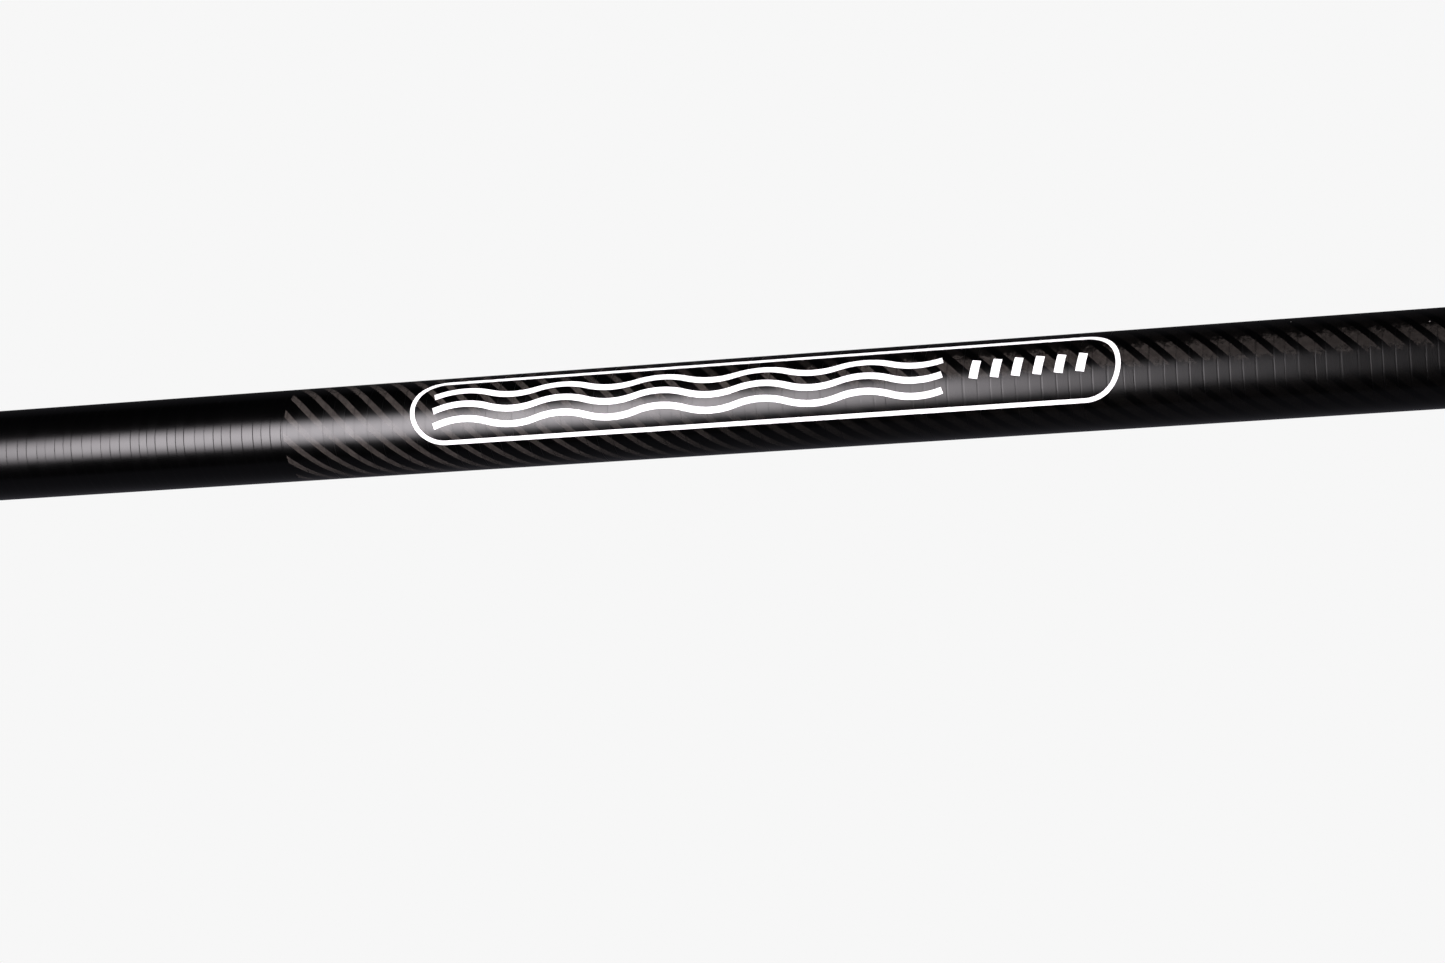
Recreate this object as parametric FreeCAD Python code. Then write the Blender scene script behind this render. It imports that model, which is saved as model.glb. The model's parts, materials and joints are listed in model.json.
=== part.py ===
"""Adjustable stand-up paddle with a single canted blade, lying on its power face.

The shaft runs along X: blade tip at -X, T-grip at +X. Z is up. The origin is on the
supporting surface, under the middle of the paddle's box. Everything is modelled with the
shaft's centre line on the X axis, and is lifted by AXIS_HEIGHT as it is saved.
All lengths are in millimetres.
"""

import FreeCAD, Part
import math
import os

from FreeCAD import Vector

# ---- driving dimensions --------------------------------------------------------------
TOTAL_LENGTH = 1800.0  # tip to grip, at the stored setting
BLADE_LENGTH = 480.0  # tip to the top of the neck
BLADE_WIDTH = 194.0
GRIP_LENGTH = 70.0  # grip ring to the top of the palm
EXPOSED_EXTENSION = 188.0  # bare extension tube between clamp and grip ring

SHAFT_R = 14.5  # 29 mm shaft
SHAFT_WALL = 1.2
WRAP_PLY = 0.2  # the outermost, striped ply
EXTENSION_R = 12.4
EXTENSION_WALL = 1.2
NECK_R = 17.0
AXIS_HEIGHT = NECK_R  # neck and grip touch the ground, so the shaft lies level
SLIDE_GAP = 0.1  # radial clearance of the parts that guide the extension
BOND_GAP = 0.05

# ---- stations along the shaft --------------------------------------------------------
TIP_X = -TOTAL_LENGTH / 2
NECK_X = TIP_X + BLADE_LENGTH
GRIP_TOP_X = TOTAL_LENGTH / 2
RING_X = GRIP_TOP_X - GRIP_LENGTH  # lower face of the grip ring
RING_LENGTH = 5.0
MOUTH_X = RING_X - EXPOSED_EXTENSION  # top of the wiper seal
SEAL_LENGTH = 2.0
FLANGE_LENGTH = 2.5
COLLAR_END_X = MOUTH_X - SEAL_LENGTH - FLANGE_LENGTH
COLLAR_LENGTH = 62.0
COLLAR_X = COLLAR_END_X - COLLAR_LENGTH
SHAFT_END_X = COLLAR_X + 30.0
SHAFT_FOOT_X = NECK_X - 72.0  # the tube is bonded this deep into the blade
WRAP_X = -8.0  # the striped ply starts here and runs up under the collar
EXTENSION_FOOT_X = COLLAR_END_X - 480.0
EXTENSION_END_X = RING_X + RING_LENGTH + 16.0

# ---- clamp ---------------------------------------------------------------------------
COLLAR_R = 16.6
SLEEVE_R = 14.0
SLIT = 3.0
EAR_THICKNESS = 7.0
EAR_LENGTH = 22.0
EAR_X = COLLAR_END_X - EAR_LENGTH - 2.0
BOLT_X = EAR_X + EAR_LENGTH / 2
BOLT_Y = -24.0
BOLT_R = 2.5
BOLT_HOLE_R = 2.75
EAR_TOP = SLIT / 2 + EAR_THICKNESS
WASHER_THICKNESS = 1.5
CAM_R = 6.2
CAM_THROW = 0.8
CAM_GAP = 0.2
PIN_R = 4.0
PIN_Z = EAR_TOP + WASHER_THICKNESS + CAM_GAP + CAM_R + CAM_THROW
LEVER_WIDTH = 20.0
NUT_R = 6.5
NUT_HEIGHT = 6.3

RAIL_WIDTH = 3.0
RAIL_HEIGHT = 0.5

X_AXIS, Y_AXIS, Z_AXIS = Vector(1, 0, 0), Vector(0, 1, 0), Vector(0, 0, 1)


# ---- helpers -------------------------------------------------------------------------
def save(name, shape):
    """Lifts one finished sub-part onto the ground plane and writes its STEP file."""
    if isinstance(shape, (list, tuple)):
        shape = Part.makeCompound(list(shape))
    placed = shape.copy()
    placed.translate(Vector(0, 0, AXIS_HEIGHT))
    placed.exportStep(f"parts/{name}.step")
    solids = len(placed.Solids)
    print(f"{name:20s} solids {solids}  volume {placed.Volume / 1000:9.3f} cm3  valid {placed.isValid()}")


def rod(x0, x1, radius):
    """Round bar about the shaft's centre line."""
    return Part.makeCylinder(radius, x1 - x0, Vector(x0, 0, 0), X_AXIS)


def tube(x0, x1, r_out, r_in):
    return rod(x0, x1, r_out).cut(rod(x0 - 1, x1 + 1, r_in))


def block(x0, x1, y0, y1, z0, z1):
    return Part.makeBox(x1 - x0, y1 - y0, z1 - z0, Vector(x0, y0, z0))


def turned(profile):
    """Solid of revolution about the shaft's centre line, from (x, radius) points."""
    points = [Vector(x, 0, r) for x, r in profile]
    face = Part.Face(Part.makePolygon(points + points[:1]))
    return face.revolve(Vector(0, 0, 0), X_AXIS, 360)


def smoothstep(low, high, value):
    u = min(1.0, max(0.0, (value - low) / (high - low)))
    return u * u * (3 - 2 * u)


def signed_power(value, power):
    return math.copysign(abs(value) ** power, value)


def rounded(shape, radius, wanted):
    """Fillets the edges that wanted() picks, and leaves the shape alone if none fits."""
    edges = [e for e in shape.Edges if wanted(e)]
    try:
        done = shape.makeFillet(radius, edges)
        return done if done.isValid() and done.Volume > 0 else shape
    except Part.OCCError:
        return shape


# ---- blade ---------------------------------------------------------------------------
BEND_START = 45.0  # all blade stations are measured from the neck's top, towards the tip
BEND_SOFTNESS = 70.0
BLADE_SLOPE = math.tan(math.radians(10.5))
EDGE_HALF = 2.1
CROWN = 1.6
SPINE_HEIGHT = 12.0
KEEL_HEIGHT = 12.0
SKIN = 1.0
RAIL_START = 128.0
EDGE_RAIL = 3.6
SECTION_POINTS = 72
LOFT_STEP = 20
LOFT_WIDEST = 114.0
OUTLINE = [(96, 32.0), (110, 37.8), (128, 46.0), (165, 62.0), (210, 77.5), (265, 90.5),
           (325, BLADE_WIDTH / 2), (385, 94.0), (430, 82.0), (461, 58.0), (476, 28.0)]


def mid_height(s):
    """Height of the blade's middle surface: level at the neck, then canted upwards."""
    u = max(0.0, s - BEND_START)
    return BLADE_SLOPE * (math.hypot(u, BEND_SOFTNESS) - BEND_SOFTNESS)


def section_point(s, angle, skin):
    """One point of the blade's cross-section at station s, set in by the skin's thickness."""
    round_share = 1 - smoothstep(25, 150, s)
    half_width = NECK_R + (LOFT_WIDEST - NECK_R) * smoothstep(45, 260, s)
    side = math.sin(angle)
    y = (half_width - skin) * math.cos(angle)
    round_z = (NECK_R - skin) * side
    ridge = (SPINE_HEIGHT * (1 - smoothstep(60, 400, s)) if side > 0
             else KEEL_HEIGHT * (1 - smoothstep(80, 330, s)))
    spread = 15.0 + 16.0 * smoothstep(80, 400, s)
    crown = CROWN * (1 - (y / LOFT_WIDEST) ** 2)
    plate = (EDGE_HALF - skin * 0.75) * abs(side) ** 0.3
    height = plate + abs(side) ** 0.3 * (crown - 0.25 * skin + ridge * math.exp(-(y / spread) ** 2))
    flat_z = math.copysign(height, side) if abs(side) > 1e-9 else 0.0
    return Vector(NECK_X - s, y, mid_height(s) + round_share * round_z + (1 - round_share) * flat_z)


def blade_loft(skin, start):
    """The whole blade and neck as one smooth body, wider than the outline it is cut to."""
    wires = []
    for s in range(start, 501, LOFT_STEP):
        points = [section_point(s, 2 * math.pi * (i + 0.5) / SECTION_POINTS, skin)
                  for i in range(SECTION_POINTS)]
        curve = Part.BSplineCurve()
        curve.interpolate(Points=points, PeriodicFlag=True)
        wires.append(Part.Wire([curve.toShape()]))
    return Part.makeLoft(wires, True, False)


def outline_prism(inset):
    """Upright prism over the blade's outline, set in by a margin all round."""
    right = [Vector(NECK_X - s + (inset if s > 440 else 0), w - inset, -60) for s, w in OUTLINE]
    left = [Vector(p.x, -p.y, p.z) for p in reversed(right)]
    tip = Vector(TIP_X + inset, 0, -60)
    curve = Part.BSplineCurve()
    curve.interpolate(Points=right + [tip] + left)
    closing = Part.LineSegment(left[-1], right[0]).toShape()
    return Part.Face(Part.Wire([curve.toShape(), closing])).extrude(Vector(0, 0, 220))


def neck_zone(station):
    """Everything from beyond the neck's top down to a station of the blade."""
    return block(NECK_X - station, NECK_X + 40, -150, 150, -80, 180)


def above_middle():
    """The space over the blade's middle surface, which parts the two skins."""
    stations = [-40 + 12.0 * i for i in range(48)]
    points = [Vector(NECK_X - s, -150, mid_height(s)) for s in stations]
    curve = Part.BSplineCurve()
    curve.interpolate(Points=points)
    top_a, top_b = Vector(points[-1].x, -150, 200), Vector(points[0].x, -150, 200)
    wire = Part.Wire([curve.toShape(), Part.makePolygon([points[-1], top_a, top_b, points[0]])])
    return Part.Face(wire).extrude(Vector(0, 300, 0))


def make_blade():
    body = blade_loft(0.0, 0)
    closed_edge = outline_prism(SKIN + 0.6).fuse(neck_zone(98.0))
    inner = blade_loft(SKIN, 80).common(closed_edge)
    bore = rod(SHAFT_FOOT_X, NECK_X + 60, SHAFT_R + BOND_GAP)
    outside, inside = outline_prism(0.0), outline_prism(EDGE_RAIL)
    in_neck = neck_zone(RAIL_START)

    taper = turned([(NECK_X - 16, NECK_R + 0.3), (NECK_X + 1, SHAFT_R + 0.4), (NECK_X + 1, 30),
                    (NECK_X - 16, 30)])
    trimmed = body.common(outside.fuse(neck_zone(100.0))).cut(taper)
    rail = trimmed.cut(inside).cut(in_neck)
    rail = rounded(rail, 1.3, lambda e: e.Length > 300 and e.BoundBox.YLength > BLADE_WIDTH - 1)

    web = trimmed.common(inside.fuse(in_neck))
    core = inner.common(web).cut(bore)
    shell = web.cut(inner).cut(bore)
    upper = above_middle()
    save("blade_core", core)
    save("power_face_skin", shell.cut(upper))
    save("back_face_skin", shell.common(upper))
    save("edge_rail", rail)


# ---- shaft ---------------------------------------------------------------------------
def make_shaft():
    bore_r = SHAFT_R - SHAFT_WALL
    lower = tube(SHAFT_FOOT_X, WRAP_X, SHAFT_R, bore_r)
    upper = tube(WRAP_X, SHAFT_END_X, SHAFT_R - WRAP_PLY, bore_r)
    rivet_hole = Part.makeCylinder(RIVET_R + BOND_GAP, 60, Vector(RIVET_X, -30, 0), Y_AXIS)
    save("main_shaft", lower.fuse(upper).removeSplitter().cut(rivet_hole))
    save("torsion_wrap", tube(WRAP_X, SHAFT_END_X, SHAFT_R, SHAFT_R - WRAP_PLY).cut(rivet_hole))
    save("tube_foot_plug", rod(SHAFT_FOOT_X, SHAFT_FOOT_X + 30, bore_r))
    save("float_plug", rod(-190.0, -150.0, bore_r))


# ---- clamp ---------------------------------------------------------------------------
RIVET_X = COLLAR_X + 15.0
RIVET_R = 2.0


def make_collar():
    """Moulded collar: a socket on the shaft's end, and a slit ring that the cam closes."""
    outer = turned([(COLLAR_X, 0), (COLLAR_X, 15.3), (COLLAR_X + 7, COLLAR_R),
                    (COLLAR_END_X - 1, COLLAR_R), (COLLAR_END_X, COLLAR_R - 1), (COLLAR_END_X, 0)])
    ears = block(EAR_X, EAR_X + EAR_LENGTH, BOLT_Y - 7.5, -10, -EAR_TOP, EAR_TOP)
    ears = rounded(ears, 6.5, lambda e: e.BoundBox.ZLength > EAR_THICKNESS
                   and e.BoundBox.YMax < BOLT_Y)
    ribs = [tube(x, x + 2.0, COLLAR_R + 0.3, COLLAR_R - 0.5) for x in (COLLAR_X + 21, COLLAR_X + 25)]
    solid = outer.fuse([ears] + ribs)
    solid = solid.cut(rod(COLLAR_X - 1, SHAFT_END_X, SHAFT_R + BOND_GAP))
    solid = solid.cut(rod(COLLAR_X, COLLAR_END_X + 1, SHAFT_R - SHAFT_WALL + BOND_GAP))
    solid = solid.cut(rod(SHAFT_END_X + 2, COLLAR_END_X + 1, SLEEVE_R + BOND_GAP))
    slit = block(SHAFT_END_X + 3, COLLAR_END_X + 5, -60, 0, -SLIT / 2, SLIT / 2)
    relief = Part.makeCylinder(SLIT / 2 + 0.8, 40, Vector(SHAFT_END_X + 3.5, -40, 0), Y_AXIS)
    cross_slot = block(SHAFT_END_X + 2.8, SHAFT_END_X + 4.4, -40, -5, -30, 30)
    bolt_hole = Part.makeCylinder(BOLT_HOLE_R, 60, Vector(BOLT_X, BOLT_Y, -30), Z_AXIS)
    rivet_hole = Part.makeCylinder(RIVET_R + BOND_GAP, 60, Vector(RIVET_X, -30, 0), Y_AXIS)
    solid = solid.cut([slit, relief, cross_slot, bolt_hole, rivet_hole])
    save("clamp_collar", solid.removeSplitter())


def make_rivets():
    """Two dome-headed rivets hold the collar to the shaft."""
    rivets = []
    for side in (1, -1):
        inner_r = SHAFT_R - SHAFT_WALL + BOND_GAP
        stem = Part.makeCylinder(RIVET_R, COLLAR_R - inner_r, Vector(RIVET_X, side * inner_r, 0),
                                 Vector(0, side, 0))
        dome = Part.makeSphere(4.2, Vector(RIVET_X, side * (COLLAR_R - 3.1), 0))
        cap = dome.common(block(RIVET_X - 5, RIVET_X + 5, *sorted((side * (COLLAR_R - 0.1), side * 25)), -5, 5))
        seat = rod(COLLAR_X, COLLAR_END_X, COLLAR_R)
        rivets.append(stem.fuse(cap.cut(seat)).cut(rod(COLLAR_X, COLLAR_END_X, inner_r)))
    save("collar_rivets", rivets)


def rail_slot(x0, x1):
    """Room for the anti-twist rail, on the +Y side."""
    return block(x0, x1, 0, 30, -RAIL_WIDTH / 2 - 0.35, RAIL_WIDTH / 2 + 0.35)


def make_sleeve():
    guide_r = EXTENSION_R + SLIDE_GAP
    sleeve = tube(SHAFT_END_X + 2.3, COLLAR_END_X, SLEEVE_R, guide_r)
    flange = tube(COLLAR_END_X, COLLAR_END_X + FLANGE_LENGTH, COLLAR_R - 0.8, guide_r)
    whole = sleeve.fuse(flange).removeSplitter().cut(rail_slot(SHAFT_END_X, MOUTH_X))
    save("guide_sleeve", whole)
    seal_x = COLLAR_END_X + FLANGE_LENGTH
    lip = turned([(seal_x, guide_r + 0.05), (seal_x, COLLAR_R - 1.6), (MOUTH_X - 0.8, COLLAR_R - 2.2),
                  (MOUTH_X, guide_r + 0.9), (MOUTH_X, guide_r + 0.05)])
    save("wiper_seal", lip.cut(rail_slot(SHAFT_END_X, MOUTH_X + 1)))


def make_bolt():
    low = -EAR_TOP - 1.0 - NUT_HEIGHT
    high = PIN_Z + 2.9  # the bolt's end stays inside the barrel pin, so the lever turns clear of it
    bolt = Part.makeCylinder(BOLT_R, high - low, Vector(BOLT_X, BOLT_Y, low), Z_AXIS)
    save("clamp_bolt", rounded(bolt, 0.5, lambda e: e.Closed))
    pin = Part.makeCylinder(PIN_R, LEVER_WIDTH, Vector(BOLT_X - LEVER_WIDTH / 2, BOLT_Y, PIN_Z), X_AXIS)
    pin = rounded(pin, 0.5, lambda e: e.Closed)
    save("cam_pin", pin.cut(Part.makeCylinder(BOLT_R, 40, Vector(BOLT_X, BOLT_Y, 0), Z_AXIS)))
    pad = block(BOLT_X - 9, BOLT_X + 9, BOLT_Y - 6.5, BOLT_Y + 6.8, EAR_TOP, EAR_TOP + WASHER_THICKNESS)
    pad = rounded(pad, 2.0, lambda e: e.BoundBox.ZLength > 1)
    save("cam_washer", pad.cut(Part.makeCylinder(BOLT_HOLE_R, 40, Vector(BOLT_X, BOLT_Y, 0), Z_AXIS)))
    flat = Part.makeCylinder(6.0, 1.0, Vector(BOLT_X, BOLT_Y, -EAR_TOP - 1.0), Z_AXIS)
    save("nut_washer", flat.cut(Part.makeCylinder(BOLT_HOLE_R, 40, Vector(BOLT_X, BOLT_Y, -30), Z_AXIS)))


def make_nut():
    """Knurled thumb nut that sets the clamp's tension."""
    low = -EAR_TOP - 1.3 - NUT_HEIGHT
    nut = Part.makeCylinder(NUT_R, NUT_HEIGHT, Vector(BOLT_X, BOLT_Y, low), Z_AXIS)
    nut = rounded(nut, 0.8, lambda e: e.Closed)
    grooves = []
    count = 18
    for i in range(count):
        a = 2 * math.pi * i / count
        at = Vector(BOLT_X + NUT_R * 1.03 * math.cos(a), BOLT_Y + NUT_R * 1.03 * math.sin(a), low - 1)
        grooves.append(Part.makeCylinder(0.75, NUT_HEIGHT + 2, at, Z_AXIS))
    bore = Part.makeCylinder(BOLT_R + 0.06, 40, Vector(BOLT_X, BOLT_Y, -30), Z_AXIS)
    save("tension_nut", nut.cut(grooves + [bore]))


def polar(radius, degrees, y=0.0, z=0.0):
    """Point in the plane across the shaft, at an angle above the +Y direction."""
    a = math.radians(degrees)
    return Vector(0, y + radius * math.cos(a), z + radius * math.sin(a))


def lever_profile():
    """Cam, arm and finger tab as one outline across the shaft."""
    inner_r, outer_r = COLLAR_R + 1.0, COLLAR_R + 5.0
    cam_z = PIN_Z - CAM_THROW
    reach = math.hypot(BOLT_Y, cam_z)
    tangent = math.degrees(math.acos((CAM_R - outer_r) / reach) + math.atan2(-cam_z, -BOLT_Y))
    cam_top, cam_low = polar(CAM_R, tangent, BOLT_Y, cam_z), polar(CAM_R, -28, BOLT_Y, cam_z)
    cam_far = polar(CAM_R, tangent + 120, BOLT_Y, cam_z)
    arm_top, arm_end = polar(outer_r, tangent), polar(outer_r, 30)
    tab = [polar(outer_r + 3.4, 12), polar(outer_r + 1.9, 7.5)]
    inner_end, inner_start = polar(inner_r, 12), polar(inner_r, 116)
    edges = [
        Part.LineSegment(cam_top, arm_top),
        Part.Arc(arm_top, polar(outer_r, 60), arm_end),
        Part.LineSegment(arm_end, tab[0]),
        Part.LineSegment(tab[0], tab[1]),
        Part.LineSegment(tab[1], inner_end),
        Part.Arc(inner_end, polar(inner_r, 65), inner_start),
        Part.LineSegment(inner_start, cam_low),
        Part.Arc(cam_low, cam_far, cam_top),
    ]
    return Part.Face(Part.Wire([e.toShape() for e in edges]))


def make_lever():
    """Over-centre lever: an eccentric cam with an arm that wraps over the collar."""
    half = LEVER_WIDTH / 2
    lever = lever_profile().extrude(Vector(LEVER_WIDTH, 0, 0))
    lever.translate(Vector(BOLT_X - half, 0, 0))
    plan = [(-half, -60), (-half, -10), (-half + 3, 34), (half - 3, 34), (half, -10), (half, -60)]
    corners = [Vector(BOLT_X + x, y, 0) for x, y in plan]
    taper = Part.Face(Part.makePolygon(corners + corners[:1])).extrude(Vector(0, 0, 60))
    lever = lever.common(taper)
    lever = rounded(lever, 1.0, lambda e: e.Length > 4 and e.BoundBox.XLength < 4)
    lever = lever.cut(Part.makeCylinder(PIN_R + 0.06, 60, Vector(BOLT_X - 30, BOLT_Y, PIN_Z), X_AXIS))
    lever = lever.cut(block(BOLT_X - 3.1, BOLT_X + 3.1, BOLT_Y - 20, BOLT_Y + 3.0, 0, 60))
    save("clamp_lever", lever)


# ---- extension -----------------------------------------------------------------------
def make_extension():
    bore_r = EXTENSION_R - EXTENSION_WALL
    save("extension_tube", tube(EXTENSION_FOOT_X, EXTENSION_END_X, EXTENSION_R, bore_r))
    strip = tube(EXTENSION_FOOT_X + 30, RING_X - 8, EXTENSION_R + RAIL_HEIGHT, EXTENSION_R)
    side = block(EXTENSION_FOOT_X, RING_X, 0, 30, -RAIL_WIDTH / 2, RAIL_WIDTH / 2)
    save("anti_twist_rail", strip.common(side))

    glide_r = SHAFT_R - SHAFT_WALL - SLIDE_GAP
    foot = EXTENSION_FOOT_X
    glide = turned([(foot - 14, 0), (foot - 14, glide_r - 1.5), (foot - 12.5, glide_r),
                    (foot - 9, glide_r), (foot - 9, 11.2), (foot - 6, 11.2), (foot - 6, glide_r),
                    (foot, glide_r), (foot, bore_r), (foot + 25, bore_r), (foot + 25, bore_r - 2),
                    (foot, bore_r - 2), (foot, 0)])
    save("end_glide", glide)
    ring_r = (glide_r - 11.2) / 2
    save("glide_seal", Part.makeTorus(11.2 + ring_r, ring_r, Vector(foot - 7.5, 0, 0), X_AXIS))


# ---- T-grip --------------------------------------------------------------------------
PALM_CENTRE = 50.0  # height of the palm bar's centre above the ring
PALM_HALF_WIDTH = 55.5
STEM_R = 14.6
STEM_STEP = 6
PAD_SPLIT = 46.0
PAD_THICKNESS = 2.6


def grip_sections():
    """(height, half width, half thickness, squareness): the stem, then a dome over the palm bar."""
    sections = []
    for above in [STEM_STEP * i for i in range(8)]:
        flare = smoothstep(6, PALM_CENTRE, above) ** 1.5
        sections.append((above, STEM_R + (PALM_HALF_WIDTH - STEM_R) * flare,
                         STEM_R + (NECK_R - STEM_R) * smoothstep(20, PALM_CENTRE, above),
                         2.0 + 0.4 * smoothstep(0, PALM_CENTRE, above)))
    rise = GRIP_LENGTH - RING_LENGTH - PALM_CENTRE
    for degrees in (0, 18, 35, 50, 64, 77):
        a = math.radians(degrees)
        sections.append((PALM_CENTRE + rise * math.sin(a), PALM_HALF_WIDTH - 16 * (1 - math.cos(a)),
                         NECK_R * math.cos(a) ** 0.62, 2.4))
    return sections


def grip_loft(inset):
    wires = []
    base = RING_X + RING_LENGTH
    for above, half_width, half_thick, square in grip_sections():
        points = []
        for i in range(64):
            a = 2 * math.pi * (i + 0.5) / 64
            y = (half_width - inset) * signed_power(math.cos(a), 2 / square)
            z = max(half_thick - inset, 1.0) * signed_power(math.sin(a), 2 / square)
            points.append(Vector(base + above - inset, y, z))
        curve = Part.BSplineCurve()
        curve.interpolate(Points=points, PeriodicFlag=True)
        wires.append(Part.Wire([curve.toShape()]))
    return Part.makeLoft(wires, True, False)


def make_grip():
    base = RING_X + RING_LENGTH
    whole = grip_loft(0.0)
    top = block(base + PAD_SPLIT, GRIP_TOP_X + 20, -80, 80, -40, 40)
    pad = whole.common(top).cut(grip_loft(PAD_THICKNESS))
    body = whole.cut(pad)
    spigot_r = EXTENSION_R - EXTENSION_WALL
    body = body.cut(rod(base - 1, EXTENSION_END_X, EXTENSION_R + BOND_GAP))
    body = body.cut(rod(base, EXTENSION_END_X + 14, spigot_r))
    save("grip_body", body)
    save("palm_pad", pad)
    save("grip_spigot", turned([(RING_X - 30, 0), (RING_X - 30, spigot_r - 1), (RING_X - 29, spigot_r),
                                (EXTENSION_END_X + 14, spigot_r), (EXTENSION_END_X + 14, 0)]))
    save("grip_ring", turned([(RING_X, EXTENSION_R), (RING_X, 13.4), (RING_X + 0.8, 14.2),
                              (base, 14.6), (base, EXTENSION_R)]))


def main():
    os.makedirs("parts", exist_ok=True)
    make_blade()
    make_shaft()
    make_collar()
    make_rivets()
    make_sleeve()
    make_bolt()
    make_nut()
    make_lever()
    make_extension()
    make_grip()


main()
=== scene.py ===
"""Looks of an adjustable stand-up paddle: striped carbon shaft, white outline print, cam-lever
clamp, sliding extension with a height scale, T-grip and carbon blade, on a plain pale floor."""

import json
import math

import bpy
from bpy.props import FloatProperty, FloatVectorProperty, IntProperty, PointerProperty
from mathutils import Matrix, Vector


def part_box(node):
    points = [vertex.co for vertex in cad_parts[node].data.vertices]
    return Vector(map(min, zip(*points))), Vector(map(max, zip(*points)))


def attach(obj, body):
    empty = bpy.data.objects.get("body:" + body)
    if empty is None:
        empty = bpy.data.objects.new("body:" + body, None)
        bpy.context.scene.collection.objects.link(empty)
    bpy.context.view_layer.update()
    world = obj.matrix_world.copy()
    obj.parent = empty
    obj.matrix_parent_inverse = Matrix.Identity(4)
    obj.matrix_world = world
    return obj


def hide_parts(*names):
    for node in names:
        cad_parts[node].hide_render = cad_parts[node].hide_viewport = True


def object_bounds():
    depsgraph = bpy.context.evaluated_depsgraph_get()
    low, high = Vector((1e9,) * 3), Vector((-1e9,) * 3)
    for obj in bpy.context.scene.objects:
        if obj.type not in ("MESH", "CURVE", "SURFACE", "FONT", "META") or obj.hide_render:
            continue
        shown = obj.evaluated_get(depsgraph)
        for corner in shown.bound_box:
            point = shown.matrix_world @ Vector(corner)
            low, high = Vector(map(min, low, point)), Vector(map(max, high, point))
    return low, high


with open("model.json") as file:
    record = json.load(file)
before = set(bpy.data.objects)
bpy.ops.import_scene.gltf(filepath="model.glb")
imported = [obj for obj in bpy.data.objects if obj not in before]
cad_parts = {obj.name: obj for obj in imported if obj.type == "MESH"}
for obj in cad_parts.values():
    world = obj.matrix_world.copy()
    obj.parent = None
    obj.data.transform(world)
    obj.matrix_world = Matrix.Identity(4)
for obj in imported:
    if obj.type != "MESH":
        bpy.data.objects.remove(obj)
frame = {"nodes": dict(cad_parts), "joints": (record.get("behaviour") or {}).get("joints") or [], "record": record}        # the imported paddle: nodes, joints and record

CAD_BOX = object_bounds()

bl_info = {
    "name": "Stand-up Paddle",
    "version": (1, 0, 0),
    "blender": (4, 5, 0),
    "location": "View3D > Sidebar > Paddle",
    "description": "Finishes, prints and studio for an adjustable stand-up paddle",
    "category": "Object",
}

MM = 0.001
CLIP_ZONE = frame["record"]["mounts"][0]
SHAFT_R = CLIP_ZONE["dims"]["r_mm"] / 1000
AXIS_Z = CLIP_ZONE["pos_m"][2]
SHAFT_WALL = 1.0 * MM
PLY_SEAT = 0.2 * MM              # step in the main tube that the striped ply lies in
PLY_WALL = 0.18 * MM             # a hair less than the seat, so that the two never touch
EXTENSION_WALL = 1.2 * MM
RING_SIDES = 160
TUBE_SMOOTH_ANGLE = math.radians(20)
PRINT_SMOOTH_ANGLE = math.radians(30)
DUST_ON_BLACK = (0.25, 0.24, 0.23)
DUST_ON_STRIPES = (0.3, 0.29, 0.28)


def span(node):
    """Where a CAD node starts and ends along the shaft."""
    low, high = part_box(node)
    return low.x, high.x


def outer_radius(node):
    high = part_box(node)[1]
    return max(high.y, high.z - AXIS_Z)


SHAFT_START, SHAFT_END = span("main_shaft")
WRAP_START = span("torsion_wrap")[0]
MOUTH_X = span("wiper_seal")[1]
EXTENSION_R = outer_radius("extension_tube")


# ---- sizes and colours that a user would change ---------------------------------------

class PaddleSizes(bpy.types.PropertyGroup):
    """Sizes of the finishes and prints."""

    stripe_count: IntProperty(
        name="Stripes", description="Stripes that start side by side around the shaft",
        default=12, min=1)
    stripe_share_low: FloatProperty(
        name="Stripe share, lower end",
        description="Share of the pitch that a light stripe takes where the ply starts",
        default=0.38, subtype="FACTOR", min=0, max=1)
    stripe_share_high: FloatProperty(
        name="Stripe share, upper end",
        description="Share of the pitch that a light stripe takes past the print",
        default=0.64, subtype="FACTOR", min=0, max=1)
    tape_spacing: FloatProperty(
        name="Tape mark spacing", description="Distance between the rings that the shrink tape left",
        default=3.3 * MM, unit="LENGTH")
    outline_start: FloatProperty(
        name="Outline start", description="Distance from the striped ply's edge to the printed outline",
        default=43.3 * MM, unit="LENGTH")
    outline_length: FloatProperty(
        name="Outline length", description="Outside length of the printed outline",
        default=223.2 * MM, unit="LENGTH")
    outline_height: FloatProperty(
        name="Outline height", description="Outside height of the printed outline, measured round the shaft",
        default=22.6 * MM, unit="LENGTH")
    outline_line: FloatProperty(
        name="Outline line", description="Width of the printed outline's line",
        default=1.42 * MM, unit="LENGTH")
    ink: FloatProperty(
        name="Ink thickness", description="Thickness of the printed ink", default=0.05 * MM, unit="LENGTH")
    tow: FloatProperty(
        name="Tow width", description="Width of one carbon tow in the blade's twill",
        default=2.0 * MM, unit="LENGTH")


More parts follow.
